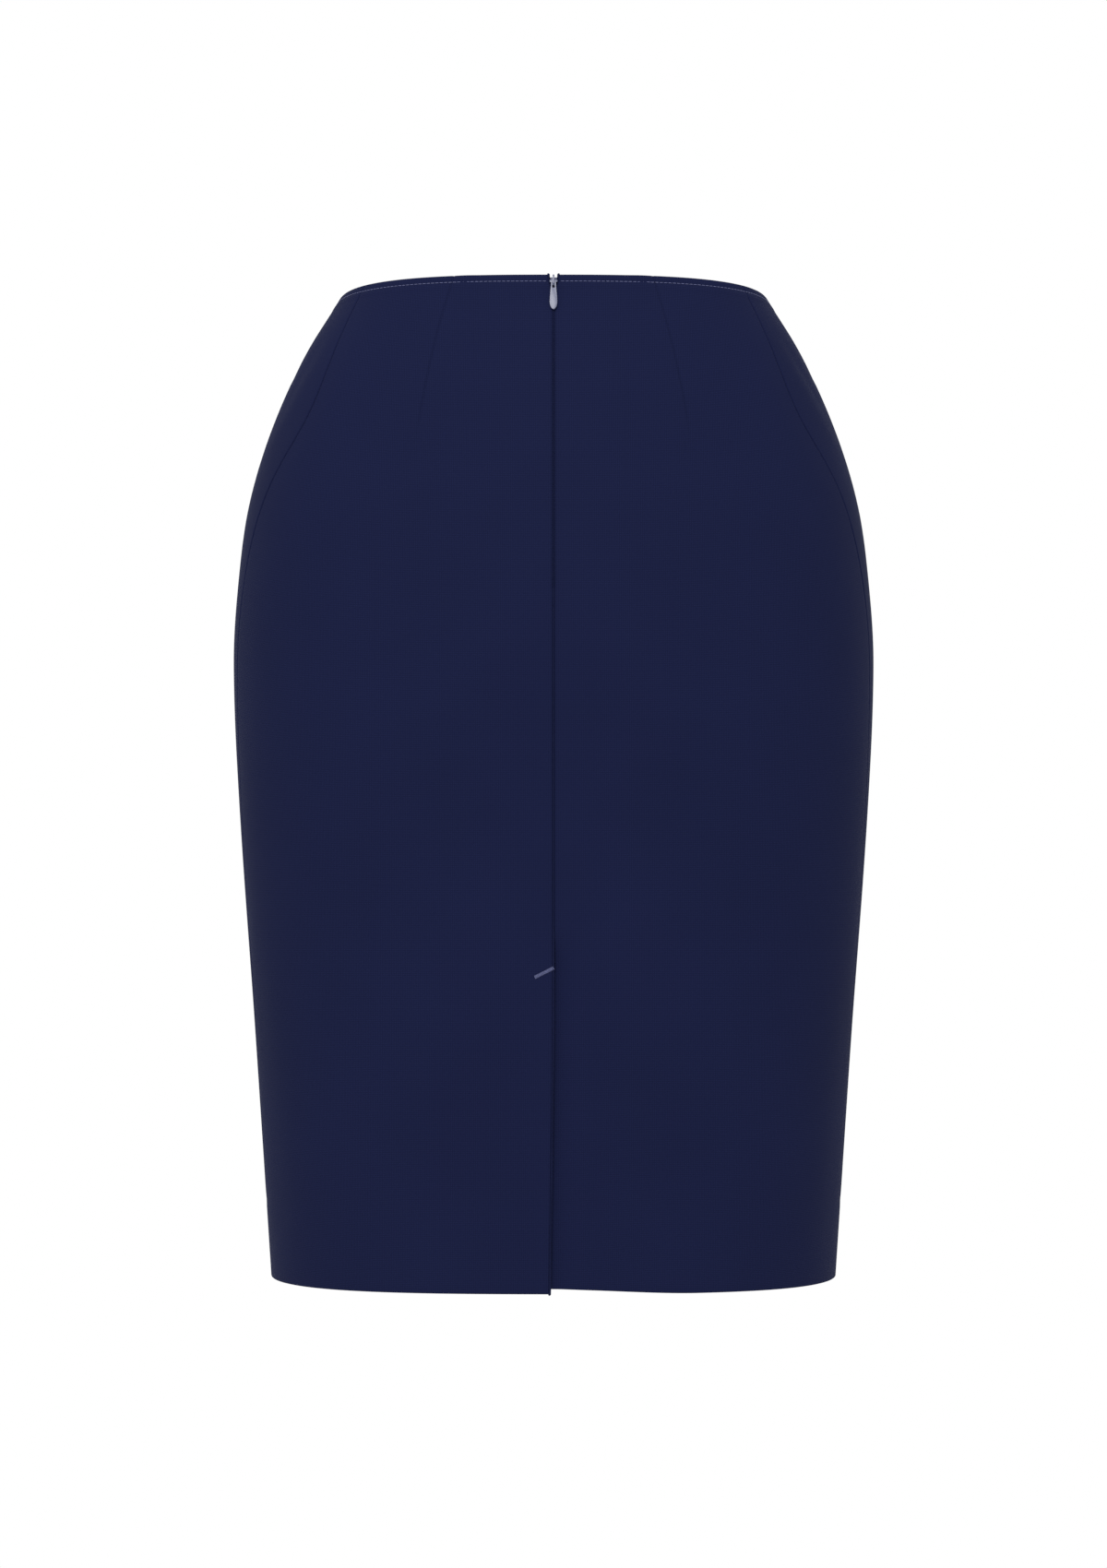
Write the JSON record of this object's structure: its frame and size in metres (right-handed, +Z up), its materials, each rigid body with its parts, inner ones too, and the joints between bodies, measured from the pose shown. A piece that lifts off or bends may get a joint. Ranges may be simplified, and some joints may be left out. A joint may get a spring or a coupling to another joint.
{
  "type": "pencil skirt",
  "caption": "Knee-length pencil skirt shaped as worn, with darts, a centre-back zip with a pull tab and a lapped back vent; waist and hem are open.",
  "frame": {"origin": "middle of the waist opening, level with the waist edge at the centre back, on the line where the skirt is widest", "axes": "+Z up along the skirt, from hem to waist; +Y out of the back; +X towards the wearer's left side"},
  "size_m": [0.3668, 0.2462, 0.56],
  "materials": {
    "suiting": "fine plain-weave wool blend, soft sheen",
    "zip_tape": "woven polyester tape, matt",
    "zip_enamel": "satin enamel on die-cast zinc"
  },
  "bodies": {
    "skirt": {"front_panel": "suiting", "back_left_panel": "suiting", "back_right_panel": "suiting", "zip_tape_left": "zip_tape", "zip_tape_right": "zip_tape", "zip_slider": "zip_enamel"},
    "pull_tab": {"zip_pull": "zip_enamel"}
  },
  "joints": [
    {"name": "pull_tab_hinge", "type": "hinge", "parent": "skirt", "child": "pull_tab", "pos_m": [0, 0.10526, -0.00432], "axis": [1, 0, 0], "range_deg": [0, 165]}
  ]
}
